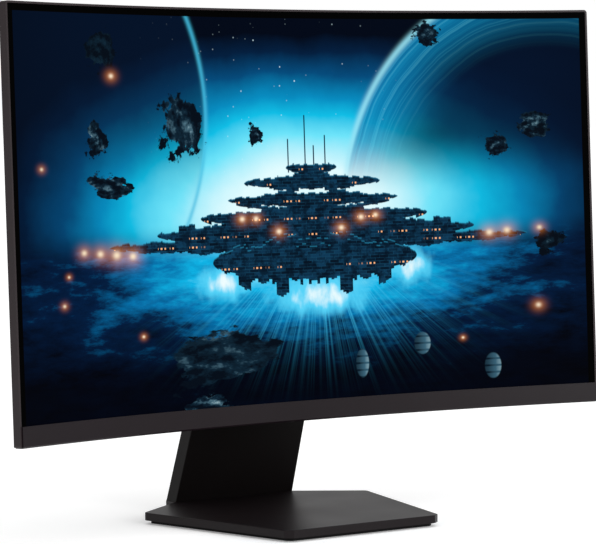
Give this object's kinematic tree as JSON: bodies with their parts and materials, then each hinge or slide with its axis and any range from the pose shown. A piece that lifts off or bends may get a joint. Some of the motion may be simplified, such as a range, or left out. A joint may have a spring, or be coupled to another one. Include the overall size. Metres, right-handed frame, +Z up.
{
  "type": "computer monitor",
  "caption": "Curved widescreen desktop monitor with slim borders and a lower bezel strip, on a leaning flat column that tilts above a low angular base plate.",
  "frame": {"origin": "on the desk, midway between the stand's sides and midway between the front and back of its base plate", "axes": "+Z up, +X along the screen's width, the screen faces -Y"},
  "size_m": [0.6108, 0.236, 0.4573],
  "materials": {
    "frame_plastic": "fine matt moulded",
    "chin_plastic": "fine matt moulded",
    "screen": "anti-glare screen, switched on",
    "sheet": "satin film",
    "guide": "clear acrylic",
    "board_green": "solder mask",
    "led_body": "white package",
    "inner_plastic": "moulded",
    "galvanised": "zinc-coated sheet",
    "film": "polyimide film",
    "ribbon_white": "flat cable jacket",
    "harness_black": "sleeved wires",
    "chip_black": "moulded package",
    "sink": "extruded, natural",
    "brass_standoff": "turned",
    "zinc_screw": "zinc plated",
    "boss_steel": "turned and plated",
    "socket_metal": "stamped and plated",
    "jack_black": "moulded",
    "cover_plastic": "textured matt moulded",
    "knob_black": "soft matt",
    "switch_plastic": "moulded",
    "lens_clear": "clear light pipe",
    "hinge_steel": "dark plated",
    "shaft_steel": "ground",
    "column_plastic": "fine matt moulded",
    "base_plastic": "fine matt moulded",
    "weight_steel": "blackened plate",
    "pad_plastic": "matt moulded",
    "foot_rubber": "matt"
  },
  "bodies": {
    "stand": {"hinge_shaft": "shaft_steel", "hinge_spacers": "shaft_steel", "friction_washers": "shaft_steel", "disc_springs": "shaft_steel", "hinge_nuts": "shaft_steel", "stand_bracket": "hinge_steel", "stand_screws": "zinc_screw", "column_core": "hinge_steel", "column_front_cover": "column_plastic", "column_rear_cover": "column_plastic", "base_cover": "base_plastic", "base_weight": "weight_steel", "base_pad": "pad_plastic", "rubber_feet": "foot_rubber", "base_screws": "zinc_screw"},
    "head": {"mid_frame": "frame_plastic", "chin_cover": "chin_plastic", "lcd_cell": "screen", "optical_sheets": "sheet", "reflector_sheet": "sheet", "light_guide": "guide", "main_board": "board_green", "source_boards": "board_green", "joystick_board": "board_green", "led_board": "board_green", "leds": "led_body", "panel_frame": "inner_plastic", "panel_tray": "galvanised", "chassis_plate": "galvanised", "socket_shield": "galvanised", "driver_films": "film", "panel_ribbon": "ribbon_white", "joystick_harness": "harness_black", "backlight_harness": "harness_black", "board_components": "chip_black", "heat_sink": "sink", "board_standoffs": "brass_standoff", "board_screws": "zinc_screw", "cover_screws": "zinc_screw", "bracket_screws": "zinc_screw", "vesa_bosses": "boss_steel", "cover_posts": "boss_steel", "hdmi_sockets": "socket_metal", "displayport_socket": "socket_metal", "headphone_jack": "jack_black", "power_jack": "jack_black", "rear_cover": "cover_plastic", "joystick_housing": "switch_plastic", "power_light_lens": "lens_clear", "head_bracket": "hinge_steel"},
    "joystick_cradle": {"joystick_cradle": "switch_plastic"},
    "joystick_rocker": {"joystick_rocker": "switch_plastic"},
    "joystick_knob": {"joystick_knob": "knob_black"}
  },
  "joints": [
    {"name": "tilt", "type": "hinge", "parent": "stand", "child": "head", "pos_m": [0, 0.03243, 0.2], "axis": [-1, 0, 0], "range_deg": [-7, 13]},
    {"name": "joystick_fore_aft", "type": "hinge", "parent": "head", "child": "joystick_cradle", "pos_m": [0, 0.00314, 0.10226], "axis": [1, 0, 0], "range_deg": [-5, 5], "stiffness_Nm_per_rad": 0.02},
    {"name": "joystick_left_right", "type": "hinge", "parent": "joystick_cradle", "child": "joystick_rocker", "pos_m": [0, 0.00314, 0.10226], "axis": [0, 0.9994, -0.0349], "range_deg": [-5, 5], "stiffness_Nm_per_rad": 0.02},
    {"name": "joystick_press", "type": "slide", "parent": "joystick_rocker", "child": "joystick_knob", "axis": [0, 0.0349, 0.9994], "range_m": [0, 0.0008], "stiffness_N_per_m": 1500, "springref_m": -0.0008}
  ]
}
